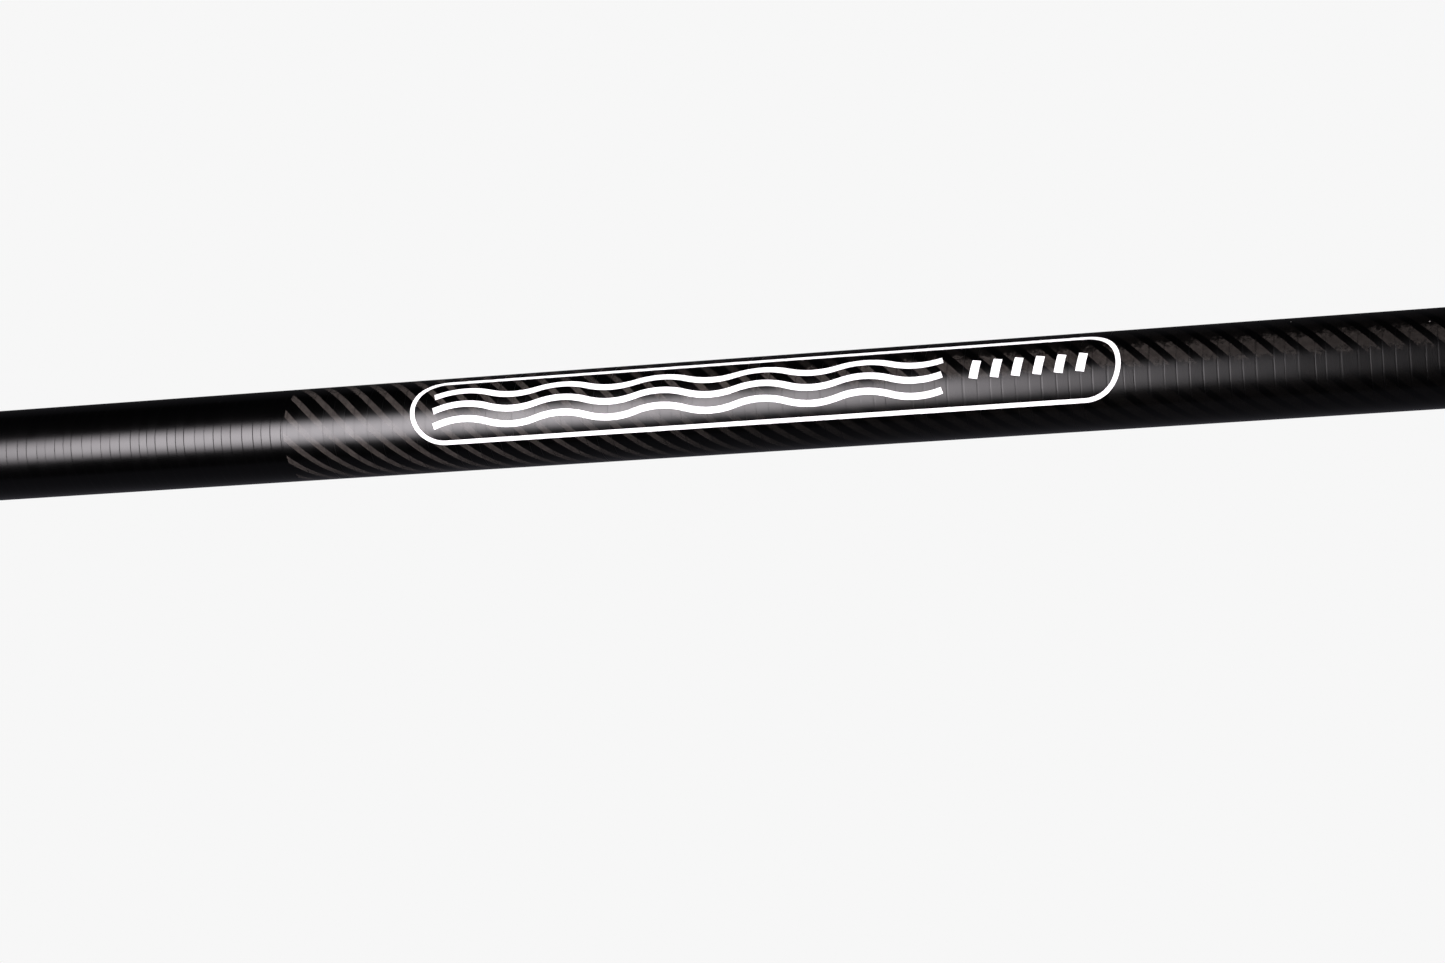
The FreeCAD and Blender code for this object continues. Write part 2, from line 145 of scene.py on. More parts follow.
class PaddleColours(bpy.types.PropertyGroup):
    """Colours of the finishes, in linear light."""

    carbon: FloatVectorProperty(
        name="Carbon", description="Bare carbon under its clear coat", subtype="COLOR", size=3,
        default=(0.00015, 0.00015, 0.00018))
    stripe: FloatVectorProperty(
        name="Stripe", description="Light stripe of the outer ply", subtype="COLOR", size=3,
        default=(0.036, 0.0317, 0.0287))
    weave: FloatVectorProperty(
        name="Weave", description="Lightest tows of the blade's twill", subtype="COLOR", size=3,
        default=(0.026, 0.0245, 0.024))
    ink: FloatVectorProperty(
        name="Ink", description="Printed ink", subtype="COLOR", size=3, default=(0.94, 0.94, 0.94))
    floor: FloatVectorProperty(
        name="Floor", description="Pale floor and backdrop", subtype="COLOR", size=3,
        default=(0.93, 0.93, 0.93))


class StudioSettings(bpy.types.PropertyGroup):
    """Where the camera stands, its lens, and the lights' strength."""

    lens: FloatProperty(
        name="Lens", description="Focal length on a 36 mm wide sensor", default=89.8, unit="CAMERA")
    distance: FloatProperty(
        name="Distance", description="From the camera to the aim point, along its line of sight",
        default=1.097, unit="LENGTH")
    aim_past_edge: FloatProperty(
        name="Aim past the ply's edge",
        description="How far up the shaft the camera looks from the striped ply's edge",
        default=0.1402, unit="LENGTH")
    rise: FloatProperty(
        name="Shaft above centre",
        description="How far above the line of sight the shaft is at the aim point",
        default=0.0227, unit="LENGTH")
    turn: FloatProperty(
        name="Turn",
        description="How far the camera is turned towards the grip from straight across the shaft",
        default=math.radians(17.97), subtype="ANGLE")
    lean: FloatProperty(
        name="Lean", description="How far the camera leans from straight above, towards the clamp's bolt",
        default=math.radians(23.4), subtype="ANGLE")
    roll: FloatProperty(
        name="Roll", description="Slope of the shaft in the picture", default=math.radians(3.49),
        subtype="ANGLE")
    key_strength: FloatProperty(
        name="Key light", description="Brightness of the long panel that makes the shaft's highlight",
        default=23.5, min=0)
    grip_strength: FloatProperty(
        name="Grip light", description="Brightness of the panel over the clamp and the grip",
        default=9.0, min=0)


def sizes():
    return bpy.context.scene.paddle_sizes


def colours():
    return bpy.context.scene.paddle_colours


# ---- modelling helpers ----------------------------------------------------------------

def start_fresh():
    """Object mode, with nothing selected."""
    if bpy.context.mode != "OBJECT":
        bpy.ops.object.mode_set(mode="OBJECT")
    bpy.ops.object.select_all(action="DESELECT")


def choose(piece):
    """Object mode, with this piece alone selected and active."""
    start_fresh()
    piece.select_set(True)
    bpy.context.view_layer.objects.active = piece


def named(name):
    """Names the piece that was just added, and its mesh."""
    piece = bpy.context.object
    piece.name = name
    piece.data.name = name
    return piece


def set_in_place():
    bpy.ops.object.transform_apply(location=True, rotation=True, scale=True)


def add_sheet(name, size=1):
    """Flat square at the origin, ready to be scaled or edited."""
    start_fresh()
    bpy.ops.mesh.primitive_plane_add(size=size)
    return named(name)


def apply_modifier(piece, kind, **settings):
    modifier = piece.modifiers.new(kind.lower(), kind)
    for name, value in settings.items():
        setattr(modifier, name, value)
    bpy.context.view_layer.objects.active = piece
    bpy.ops.object.modifier_apply(modifier=modifier.name)


def select_where(piece, test):
    """In edit mode, selects the vertices whose place test() picks, and nothing else."""
    bpy.ops.mesh.select_mode(type="VERT")
    bpy.ops.mesh.select_all(action="DESELECT")
    bpy.ops.object.mode_set(mode="OBJECT")
    for vertex in piece.data.vertices:
        vertex.select = bool(test(vertex.co))
    bpy.ops.object.mode_set(mode="EDIT")


def select_faces(piece, test):
    """In edit mode, selects the faces that test() picks, and nothing else."""
    bpy.ops.mesh.select_mode(type="FACE")
    bpy.ops.mesh.select_all(action="DESELECT")
    bpy.ops.object.mode_set(mode="OBJECT")
    for face in piece.data.polygons:
        face.select = bool(test(face))
    bpy.ops.object.mode_set(mode="EDIT")


def join(pieces, name):
    choose(pieces[0])
    for piece in pieces:
        piece.select_set(True)
    bpy.ops.object.join()
    return named(name)


def copy_of(piece, offset):
    choose(piece)
    bpy.ops.object.duplicate(linked=False)
    bpy.ops.transform.translate(value=offset)
    set_in_place()
    return bpy.context.object


def finish_piece(piece, material, body, slot, *replaced):
    piece.data.materials.clear()
    piece.data.materials.append(material)
    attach(piece, body)
    if replaced:
        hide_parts(*replaced)


def add_tube(name, start, end, radius):
    """Open round skin along the shaft, still without a wall."""
    start_fresh()
    bpy.ops.mesh.primitive_cylinder_add(
        vertices=RING_SIDES, radius=radius, depth=end - start, end_fill_type="NOTHING",
        location=((start + end) / 2, 0, AXIS_Z), rotation=(0, math.pi / 2, 0))
    tube = named(name)
    set_in_place()
    return tube


def give_wall(tube, wall, rim):
    """Thickens a skin inwards and rounds its rims."""
    apply_modifier(tube, "SOLIDIFY", thickness=wall, offset=-1)
    apply_modifier(tube, "BEVEL", width=rim, segments=2, limit_method="ANGLE", angle_limit=math.radians(50))
    bpy.ops.object.shade_smooth_by_angle(angle=TUBE_SMOOTH_ANGLE)


def wrap_round_tube(sheet, radius, facet):
    """Bends a flat print, drawn with X along the tube and Y round it, onto the tube."""
    choose(sheet)
    edges = [vertex.co.y for vertex in sheet.data.vertices]
    low, high = min(edges), max(edges)
    first_cut = 0.63                     # in facets: off the middle, so no cut runs along a print edge
    bpy.ops.object.mode_set(mode="EDIT")
    select_faces(sheet, lambda face: face.normal.z < 0)
    bpy.ops.mesh.flip_normals()
    for k in range(int((high - low) / facet)):
        bpy.ops.mesh.select_all(action="SELECT")
        bpy.ops.mesh.bisect(plane_co=(0, low + (k + first_cut) * facet, 0), plane_no=(0, 1, 0))
    bpy.ops.object.mode_set(mode="OBJECT")
    apply_modifier(sheet, "SOLIDIFY", thickness=sizes().ink, offset=1)
    stand_up = Matrix(((0, -1, 0), (0, 0, -1), (1, 0, 0))).to_4x4()
    sheet.matrix_world = stand_up
    set_in_place()
    apply_modifier(sheet, "SIMPLE_DEFORM", deform_method="BEND", deform_axis="Z", angle=(high - low) / radius)
    sheet.matrix_world = Matrix.Translation((0, 0, AXIS_Z + radius)) @ stand_up.transposed()
    set_in_place()
    bpy.ops.object.shade_smooth_by_angle(angle=PRINT_SMOOTH_ANGLE)


# ---- shader helpers -------------------------------------------------------------------

FLOAT = "NodeSocketFloat"
MIX_FIRST, MIX_SECOND, MIXED = 6, 7, 2       # the colour sockets of a Mix node


def put(tree, socket, value):
    """Links a socket to an input, or sets the input to a value."""
    if isinstance(value, bpy.types.NodeSocket):
        tree.links.new(value, socket)
    else:
        socket.default_value = value


def add_node(tree, kind, inputs=(), **settings):
    node = tree.nodes.new(kind)
    for name, value in settings.items():
        setattr(node, name, value)
    for name, value in dict(inputs).items():
        put(tree, node.inputs[name], value)
    return node


def calc(tree, operation, *values):
    node = add_node(tree, "ShaderNodeMath", operation=operation)
    for socket, value in zip(node.inputs, values):
        put(tree, socket, value)
    return node.outputs[0]


def plus(tree, first, second):
    return calc(tree, "ADD", first, second)


def minus(tree, first, second):
    return calc(tree, "SUBTRACT", first, second)


def times(tree, first, second):
    return calc(tree, "MULTIPLY", first, second)


def gap(tree, value, middle):
    """How far a value is from a middle, on either side."""
    return calc(tree, "ABSOLUTE", minus(tree, value, middle))


def remap(tree, value, low, high, to_low=0.0, to_high=1.0):
    inputs = {"Value": value, "From Min": low, "From Max": high, "To Min": to_low, "To Max": to_high}
    return add_node(tree, "ShaderNodeMapRange", inputs, interpolation_type="SMOOTHSTEP").outputs["Result"]


def blend_colour(tree, share, first, second):
    node = add_node(tree, "ShaderNodeMix", {"Factor": share}, data_type="RGBA")
    for socket, value in ((node.inputs[MIX_FIRST], first), (node.inputs[MIX_SECOND], second)):
        put(tree, socket, value if isinstance(value, bpy.types.NodeSocket) else (*value, 1))
    return node.outputs[MIXED]


def toned(colour, factor):
    return [factor * channel for channel in colour]


def noise(tree, where, scale, detail=2.0, roughness=0.5):
    inputs = {"Vector": where, "Scale": scale, "Detail": detail, "Roughness": roughness}
    return add_node(tree, "ShaderNodeTexNoise", inputs).outputs["Fac"]


def position(tree):
    """Place on the piece."""
    return add_node(tree, "ShaderNodeTexCoord").outputs["Object"]


def split(tree, place):
    parts = add_node(tree, "ShaderNodeSeparateXYZ", {"Vector": place})
    return parts.outputs["X"], parts.outputs["Y"], parts.outputs["Z"]


def vector(tree, x, y, z):
    return add_node(tree, "ShaderNodeCombineXYZ", {"X": x, "Y": y, "Z": z}).outputs["Vector"]


def number_of(tree, whole):
    """Random value from 0 to 1 that goes with a whole number."""
    return add_node(tree, "ShaderNodeTexWhiteNoise", {"W": whole}, noise_dimensions="1D").outputs["Value"]


def bump(tree, height, distance):
    return add_node(tree, "ShaderNodeBump", {"Height": height, "Distance": distance}).outputs["Normal"]


def new_group(name, inputs, outputs):
    """Empty shader group with float inputs (name, default) and float outputs."""
    group = bpy.data.node_groups.new(name, "ShaderNodeTree")
    for label, default in inputs:
        socket = group.interface.new_socket(label, in_out="INPUT", socket_type=FLOAT)
        socket.default_value = default
    for label in outputs:
        group.interface.new_socket(label, in_out="OUTPUT", socket_type=FLOAT)
    return group, group.nodes.new("NodeGroupInput").outputs, group.nodes.new("NodeGroupOutput").inputs


def use_group(tree, name, **inputs):
    node = tree.nodes.new("ShaderNodeGroup")
    node.node_tree = bpy.data.node_groups[name]
    for label, value in inputs.items():
        put(tree, node.inputs[label.replace("_", " ").title()], value)
    return node.outputs


def new_material(name, **constants):
    """Material with a Principled shader; constants are set on the shader's own sockets."""
    material = bpy.data.materials.new(name)
    material.use_nodes = True
    tree = material.node_tree
    shader = tree.nodes["Principled BSDF"]
    for label, value in constants.items():
        shader.inputs[label.replace("_", " ").title().replace("Ior", "IOR")].default_value = value
    return material, tree, shader


def blank_material(name):
    material = bpy.data.materials.new(name)
    material.use_nodes = True
    material.node_tree.nodes.clear()
    return material, material.node_tree


def set_glow(tree, colour, strength):
    glow = add_node(tree, "ShaderNodeEmission", {"Color": colour, "Strength": strength})
    out = add_node(tree, "ShaderNodeOutputMaterial")
    tree.links.new(glow.outputs["Emission"], out.inputs["Surface"])


# ---- shared effects -------------------------------------------------------------------

def make_tape_marks():
    """Rings that shrink tape leaves on a cured tube: a fine line, and a tone that varies by turn."""
    tree, given, result = new_group(
        "Tape Marks", [("Spacing", 0.003), ("Line Width", 0.06)], ["Line", "Tone"])
    x, y, z = split(tree, position(tree))
    drift = times(tree, noise(tree, vector(tree, x, 0.0, 0.0), 90.0, 1.0), 1.3)
    turns = plus(tree, calc(tree, "DIVIDE", x, given["Spacing"]), drift)
    turn = calc(tree, "FLOOR", turns)
    from_middle = gap(tree, calc(tree, "FRACT", turns), 0.5)
    line = remap(tree, from_middle, minus(tree, 0.5, given["Line Width"]), 0.5)
    broken = remap(tree, noise(tree, vector(tree, turn, y, z), 55.0, 2.0), 0.25, 0.55)
    put(tree, result["Line"], times(tree, line, broken))
    put(tree, result["Tone"], number_of(tree, turn))


def make_helical_stripes():
    """Stripes of a ply wound at 45 degrees, the fine streaks of its fibres, and painted sheen and shade for
    the stripes' colour.
    """
    tree, given, result = new_group(
        "Helical Stripes",
        [("Radius", SHAFT_R), ("Starts", 12.0), ("Low Share", 0.4), ("High Share", 0.6),
         ("Low X", 0.1), ("High X", 0.2)],
        ["Stripe", "Streak", "Painted Sheen"])
    place = position(tree)
    x, y, z = split(tree, place)
    angle = calc(tree, "ARCTAN2", y, minus(tree, z, AXIS_Z))         # round the shaft from its top
    advance = calc(tree, "DIVIDE", x, given["Radius"])
    turns = times(tree, plus(tree, advance, angle), calc(tree, "DIVIDE", given["Starts"], math.tau))

    edge = 0.035                                                     # softness of a stripe's edge
    waver = times(tree, minus(tree, noise(tree, place, 240.0, 2.0), 0.5), 0.05)
    part = calc(tree, "FRACT", plus(tree, turns, waver))
    widen = remap(tree, x, given["Low X"], given["High X"])
    gain = minus(tree, given["High Share"], given["Low Share"])
    share = plus(tree, given["Low Share"], times(tree, gain, widen))
    rise = remap(tree, part, 0.0, edge)
    fall = remap(tree, part, minus(tree, share, edge), share, 1.0, 0.0)
    ragged = times(tree, number_of(tree, calc(tree, "FLOOR", turns)), 1.6 * MM)
    begun = calc(tree, "GREATER_THAN", x, plus(tree, WRAP_START + 0.3 * MM, ragged))
    put(tree, result["Stripe"], times(tree, begun, times(tree, rise, fall)))

    along = times(tree, minus(tree, advance, angle), 0.35)
    streaks = noise(tree, vector(tree, times(tree, turns, 14.0), along, 0.0), 1.6, 3.0, 0.6)
    put(tree, result["Streak"], streaks)

    # Painted sheen and shade. The stripes' colour stays brightest near 4 degrees round from the top and is
    # painted darker away from it, more so further up the shaft. It is painted darker along the shaft as the
    # key light falls off, and painted dimmer under the highlight near -20 degrees. Only the mottle is random.
    mottle = noise(tree, place, 700.0, 3.0, 0.6)
    speckle = times(tree, minus(tree, mottle, 0.5), 0.5)
    off_bright = plus(tree, gap(tree, angle, math.radians(4)), speckle)
    painted_shade_round_tube = remap(tree, off_bright, math.radians(6), math.radians(18))
    farther = remap(tree, x, WRAP_START + 0.02, WRAP_START + 0.21)
    painted_side_shade = times(tree, times(tree, painted_shade_round_tube, farther), 0.92)
    painted_falloff_along = remap(tree, x, WRAP_START + 0.12, WRAP_START + 0.38, 1.0, 0.45)
    off_glare = gap(tree, angle, math.radians(-20))
    painted_glare_dimming = remap(tree, off_glare, math.radians(4), math.radians(13), 0.4, 1.0)
    mottle_and_painted_light = times(tree, times(tree, painted_falloff_along, painted_glare_dimming), remap(tree, mottle, 0.35, 0.6, 1.0, 0.72))
    put(tree, result["Painted Sheen"], times(tree, minus(tree, 1.0, painted_side_shade), mottle_and_painted_light))


def make_twill():
    """Two-by-two carbon twill seen through clear coat: tone of warp and weft, and the tows' crown."""
    tree, given, result = new_group("Carbon Twill", [("Tow", 0.002)], ["Tone", "Height"])
    x, y = split(tree, position(tree))[:2]
    across = calc(tree, "DIVIDE", x, given["Tow"])
    along = calc(tree, "DIVIDE", y, given["Tow"])
    steps = minus(tree, calc(tree, "FLOOR", across), calc(tree, "FLOOR", along))
    warp_up = calc(tree, "LESS_THAN", calc(tree, "FLOORED_MODULO", steps, 4.0), 1.5)
    weft_up = minus(tree, 1.0, warp_up)
    warp_crown = calc(tree, "SINE", times(tree, calc(tree, "FRACT", across), math.pi))
    weft_crown = calc(tree, "SINE", times(tree, calc(tree, "FRACT", along), math.pi))
    warp_place = vector(tree, times(tree, across, 9.0), times(tree, along, 0.5), 0.0)
    weft_place = vector(tree, times(tree, across, 0.5), times(tree, along, 9.0), 0.0)
    warp_tone = times(tree, calc(tree, "SQRT", warp_crown), noise(tree, warp_place, 1.0))
    weft_tone = times(tree, calc(tree, "SQRT", weft_crown), times(tree, noise(tree, weft_place, 1.0), 0.45))
    tone = plus(tree, times(tree, warp_up, warp_tone), times(tree, weft_up, weft_tone))
    crown = plus(tree, times(tree, warp_up, warp_crown), times(tree, weft_up, weft_crown))
    put(tree, result["Tone"], tone)
    put(tree, result["Height"], crown)


def make_dust():
    """A few pale specks of dust."""
    tree, given, result = new_group("Dust", [("Density", 140.0), ("Share", 0.05)], ["Speck"])
    cells = add_node(tree, "ShaderNodeTexVoronoi", {"Vector": position(tree), "Scale": given["Density"]})
    draw = add_node(tree, "ShaderNodeSeparateColor", {"Color": cells.outputs["Color"]}).outputs["Red"]
    chosen = calc(tree, "LESS_THAN", draw, given["Share"])
    spot = remap(tree, cells.outputs["Distance"], 0.03, 0.07, 1.0, 0.0)
    put(tree, result["Speck"], times(tree, chosen, spot))


def make_moulded_grain():
    """Fine grain of moulded plastic or rubber, with edges rubbed a little paler."""
    tree, given, result = new_group(
        "Moulded Grain", [("Grain", 1800.0), ("Rub", 0.5)], ["Height", "Mottle", "Rubbed"])
    place = position(tree)
    put(tree, result["Height"], noise(tree, place, given["Grain"], 3.0, 0.6))
    put(tree, result["Mottle"], noise(tree, place, 70.0, 4.0, 0.55))
    ridge = remap(tree, add_node(tree, "ShaderNodeNewGeometry").outputs["Pointiness"], 0.52, 0.60)
    mottle_and_painted_light = remap(tree, noise(tree, place, 260.0, 3.0), 0.4, 0.65)
    put(tree, result["Rubbed"], times(tree, times(tree, ridge, mottle_and_painted_light), given["Rub"]))


def make_brushed():
    """Fine scratches that run one way, for steel and anodised parts."""
    tree, given, result = new_group("Brushed", [("Fineness", 1.0)], ["Scratch"])
    x, y, z = split(tree, position(tree))
    fine = times(tree, given["Fineness"], 3000.0)
    where = vector(tree, times(tree, x, fine), times(tree, y, 300.0), times(tree, z, 300.0))
    put(tree, result["Scratch"], noise(tree, where, 1.0, 3.0, 0.65))


# ---- finishes -------------------------------------------------------------------------

def coat_roughness(tree, tape, base, tone_gain):
    """Clear coat that is a little duller on some turns of the tape and along its lines."""
    rough = plus(tree, base, times(tree, tape["Tone"], tone_gain))
    return plus(tree, rough, times(tree, tape["Line"], 0.04))


def bare_carbon(name, groove):
    """Smooth black tube with the rings of its tape showing in the shine."""
    material, tree, shader = new_material(name, specular_ior_level=0.25)
    tape = use_group(tree, "Tape Marks", spacing=sizes().tape_spacing, line_width=0.05)
    dust = use_group(tree, "Dust", density=150.0, share=0.08)
    cloud = noise(tree, position(tree), 18.0, 3.0)
    base = blend_colour(tree, cloud, colours().carbon, toned(colours().carbon, 2.0))
    put(tree, shader.inputs["Base Color"], blend_colour(tree, dust["Speck"], base, DUST_ON_BLACK))
    put(tree, shader.inputs["Roughness"], coat_roughness(tree, tape, 0.20, 0.03))
    height = minus(tree, times(tree, cloud, 0.15), tape["Line"])
    put(tree, shader.inputs["Normal"], bump(tree, height, groove))
    return material


def striped_carbon():
    """Outer ply with pale 45 degree stripes under the same taped coat."""
    s = sizes()
    material, tree, shader = new_material("striped_carbon", specular_ior_level=0.25)
    stripes = use_group(
        tree, "Helical Stripes", radius=SHAFT_R, starts=float(s.stripe_count),
        low_share=s.stripe_share_low, high_share=s.stripe_share_high,
        low_x=WRAP_START + 0.12, high_x=WRAP_START + s.outline_start + s.outline_length)
    tape = use_group(tree, "Tape Marks", spacing=s.tape_spacing * 1.2, line_width=0.1)
    dust = use_group(tree, "Dust", density=150.0, share=0.12)
    streak = calc(tree, "MINIMUM", remap(tree, stripes["Streak"], 0.25, 0.75, 0.72, 1.1), 1.0)
    # The stripes' colour carries the painted sheen and shade of the Helical Stripes group.
    tone = times(tree, stripes["Stripe"], times(tree, stripes["Painted Sheen"], streak))
    shadow = plus(tree, times(tree, tape["Tone"], 0.2), times(tree, tape["Line"], 0.45))
    shaded = times(tree, tone, minus(tree, 1.0, shadow))
    base = blend_colour(tree, shaded, colours().carbon, colours().stripe)
    put(tree, shader.inputs["Base Color"], blend_colour(tree, dust["Speck"], base, DUST_ON_STRIPES))
    put(tree, shader.inputs["Roughness"], coat_roughness(tree, tape, 0.21, 0.04))
    height = minus(tree, times(tree, stripes["Streak"], 0.05), tape["Line"])
    put(tree, shader.inputs["Normal"], bump(tree, height, 0.013 * MM))
    return material


def print_ink():
    """White screen print, a little uneven in its coverage; made once for all prints."""
    if "print_ink" in bpy.data.materials:
        return bpy.data.materials["print_ink"]
    material, tree, shader = new_material("print_ink", specular_ior_level=0.3)
    cover = noise(tree, position(tree), 900.0, 3.0, 0.6)
    base = blend_colour(tree, remap(tree, cover, 0.3, 0.7), toned(colours().ink, 0.93), colours().ink)
    put(tree, shader.inputs["Base Color"], base)
    put(tree, shader.inputs["Roughness"], remap(tree, cover, 0.3, 0.7, 0.38, 0.48))
    put(tree, shader.inputs["Normal"], bump(tree, cover, 0.006 * MM))
    return material


def twill_carbon():
    """Blade laminate: gloss coat over carbon twill."""
    material, tree, shader = new_material(
        "twill_carbon", specular_ior_level=0.15, coat_weight=0.6, coat_roughness=0.12, coat_ior=1.3)
    weave = use_group(tree, "Carbon Twill", tow=sizes().tow)
    cloud = noise(tree, position(tree), 14.0, 3.0)
    tone = times(tree, weave["Tone"], remap(tree, cloud, 0.3, 0.7, 0.8, 1.1))
    put(tree, shader.inputs["Base Color"], blend_colour(tree, tone, colours().carbon, colours().weave))
    put(tree, shader.inputs["Roughness"], remap(tree, weave["Tone"], 0.0, 0.6, 0.50, 0.34))
    put(tree, shader.inputs["Normal"], bump(tree, weave["Height"], 0.03 * MM))
    return material


def moulded(name, colour, roughness, grain, depth=0.02 * MM, rub=0.5, pale=2.2):
    """Moulded plastic or rubber: grain, faint mottling and rubbed edges."""
    material, tree, shader = new_material(name)
    grainy = use_group(tree, "Moulded Grain", grain=grain, rub=rub)
    mottled = blend_colour(tree, grainy["Mottle"], toned(colour, 0.8), toned(colour, 1.2))
    base = blend_colour(tree, grainy["Rubbed"], mottled, toned(colour, pale))
    put(tree, shader.inputs["Base Color"], base)
    worn = times(tree, grainy["Rubbed"], -0.12)
    uneven = remap(tree, grainy["Mottle"], 0.2, 0.8, roughness - 0.05, roughness + 0.06)
    put(tree, shader.inputs["Roughness"], plus(tree, uneven, worn))
    put(tree, shader.inputs["Normal"], bump(tree, grainy["Height"], depth))
    return material


def brushed_metal(name, colour, roughness, fineness=1.0):
    """Steel or anodised aluminium with fine scratches."""
    material, tree, shader = new_material(name, metallic=1.0)
    scratch = use_group(tree, "Brushed", fineness=fineness)["Scratch"]
    base = blend_colour(tree, scratch, toned(colour, 0.85), toned(colour, 1.1))
    put(tree, shader.inputs["Base Color"], base)
    put(tree, shader.inputs["Roughness"], remap(tree, scratch, 0.2, 0.8, roughness - 0.07, roughness + 0.1))
    put(tree, shader.inputs["Normal"], bump(tree, scratch, 0.008 * MM))
    return material


def paint(material, *nodes):
    for name in nodes:
        for slot in frame["nodes"][name].material_slots:
            slot.material = material


# ---- operators ------------------------------------------------------------------------

class PADDLE_OT_effects(bpy.types.Operator):
    """Make the shader groups that the finishes share"""

    bl_idname = "paddle.effects"
    bl_label = "Shared effects"

    def execute(self, context):
        make_tape_marks()
        make_helical_stripes()
        make_twill()
        make_dust()
        make_moulded_grain()
        make_brushed()
        return {"FINISHED"}


class PADDLE_OT_bare_shaft(bpy.types.Operator):
    """Model the main tube: full size up to the striped ply, then stepped down to carry it"""

    bl_idname = "paddle.bare_shaft"
    bl_label = "Bare shaft"

    def execute(self, context):
        tube = add_tube("bare_shaft", SHAFT_START, WRAP_START, SHAFT_R)
        shrink = (SHAFT_R - PLY_SEAT) / SHAFT_R
        bpy.ops.object.mode_set(mode="EDIT")
        select_where(tube, lambda at: at.x > WRAP_START - 1e-5)
        bpy.ops.mesh.extrude_edges_move(TRANSFORM_OT_translate={"value": (0, 0, 0)})
        bpy.ops.transform.resize(value=(1, shrink, shrink), center_override=(WRAP_START, 0, AXIS_Z))
        bpy.ops.mesh.extrude_edges_move(TRANSFORM_OT_translate={"value": (SHAFT_END - WRAP_START, 0, 0)})
        bpy.ops.object.mode_set(mode="OBJECT")
        give_wall(tube, SHAFT_WALL, rim=0.05 * MM)
        material = bare_carbon("bare_carbon", groove=0.04 * MM)
        finish_piece(tube, material, "paddle", "carbon_shaft", "main_shaft")
        return {"FINISHED"}


class PADDLE_OT_striped_ply(bpy.types.Operator):
    """Model the striped outer ply, from its crisp edge up under the clamp"""

    bl_idname = "paddle.striped_ply"
    bl_label = "Striped ply"

    def execute(self, context):
        tube = add_tube("striped_ply", WRAP_START, SHAFT_END, SHAFT_R)
        give_wall(tube, PLY_WALL, rim=0.03 * MM)
        finish_piece(tube, striped_carbon(), "paddle", "carbon_weave", "torsion_wrap")
        return {"FINISHED"}


class PADDLE_OT_outline_print(bpy.types.Operator):
    """Print the long outline with round ends, and the waves and dashes inside it"""

    bl_idname = "paddle.outline_print"
    bl_label = "Outline print"

    outline_drop = 1.05 * MM         # from the shaft's top down its near side to the outline's middle
    wave_drop = 0.9 * MM
    wave_start = -102 * MM           # from the outline's middle, as dash_start is
    wave_count = 5
    wave_pitch = 32 * MM
    wave_rise = 1.25 * MM
    wave_line = 2.0 * MM
    wave_spacing = 4.8 * MM
    dash_start = 68 * MM
    dash_pitch = 6.4 * MM
    dash_count = 6
    dash_length, dash_height, dash_slant = 2.6 * MM, 5.4 * MM, 2.0 * MM

    def outline(self):
        s = sizes()
        ring = add_sheet("outline")
        ring.scale = (s.outline_length, s.outline_height, 1)
        ring.location.y = -self.outline_drop
        set_in_place()
        bpy.ops.object.mode_set(mode="EDIT")
        bpy.ops.mesh.select_all(action="SELECT")
        bpy.ops.mesh.bevel(offset=s.outline_height / 2 - 1e-6, segments=24, affect="VERTICES")
        bpy.ops.mesh.remove_doubles(threshold=1e-5)
        bpy.ops.mesh.select_mode(type="FACE")
        bpy.ops.mesh.select_all(action="SELECT")
        bpy.ops.mesh.inset(thickness=s.outline_line)
        bpy.ops.mesh.delete(type="FACE")
        bpy.ops.object.mode_set(mode="OBJECT")
        return ring

    def wave(self):
        """Band of equal arcs, each spun from the end of the last."""
        start = self.wave_start
        tilt = 2 * math.atan2(2 * self.wave_rise, self.wave_pitch / 2)
        radius = self.wave_pitch / 4 / math.sin(tilt)
        reach = Vector((math.cos(tilt), math.sin(tilt), 0))
        band = add_sheet("wave", self.wave_line)
        band.matrix_world = (Matrix.Translation((start, 0, 0)) @ Matrix.Rotation(tilt, 4, "Z")
                             @ Matrix.Translation((-self.wave_line / 2, 0, 0)))
        set_in_place()
        bpy.ops.object.mode_set(mode="EDIT")
        select_where(band, lambda at: (at - Vector((start, 0, 0))).dot(reach) > -1e-6)
        for k in range(2 * self.wave_count):
            side = -1 if k % 2 == 0 else 1
            centre_x = start + (2 * k + 1) * radius * math.sin(tilt)
            centre = (centre_x, side * radius * math.cos(tilt), 0)
            bpy.ops.mesh.spin(steps=10, angle=-side * 2 * tilt, center=centre, axis=(0, 0, 1))
        bpy.ops.mesh.select_all(action="SELECT")
        bpy.ops.mesh.remove_doubles(threshold=1e-6)
        bpy.ops.object.mode_set(mode="OBJECT")
        band.location.y = -self.wave_drop
        set_in_place()
        return band

    def dash(self):
        mark = add_sheet("dash")
        slanted = Matrix((
            (self.dash_length, self.dash_slant, 0, 0), (0, self.dash_height, 0, 0),
            (0, 0, 1, 0), (0, 0, 0, 1)))
        mark.matrix_world = Matrix.Translation((self.dash_start, 0, 0)) @ slanted
        set_in_place()
        return mark

    def execute(self, context):
        s = sizes()
        pieces = [self.outline()]
        wave = self.wave()
        pieces.append(wave)
        for row in (1, -1):
            pieces.append(copy_of(wave, (0, row * self.wave_spacing, 0)))
        dash = self.dash()
        pieces.append(dash)
        for k in range(1, self.dash_count):
            pieces.append(copy_of(dash, (k * self.dash_pitch, 0, 0)))
        ink = join(pieces, "shaft_print")
        wrap_round_tube(ink, SHAFT_R, facet=1.3 * MM)
        ink.matrix_world = Matrix.Translation((WRAP_START + s.outline_start + s.outline_length / 2, 0, 0))
        set_in_place()
        finish_piece(ink, print_ink(), "paddle", "carbon_weave")
        return {"FINISHED"}


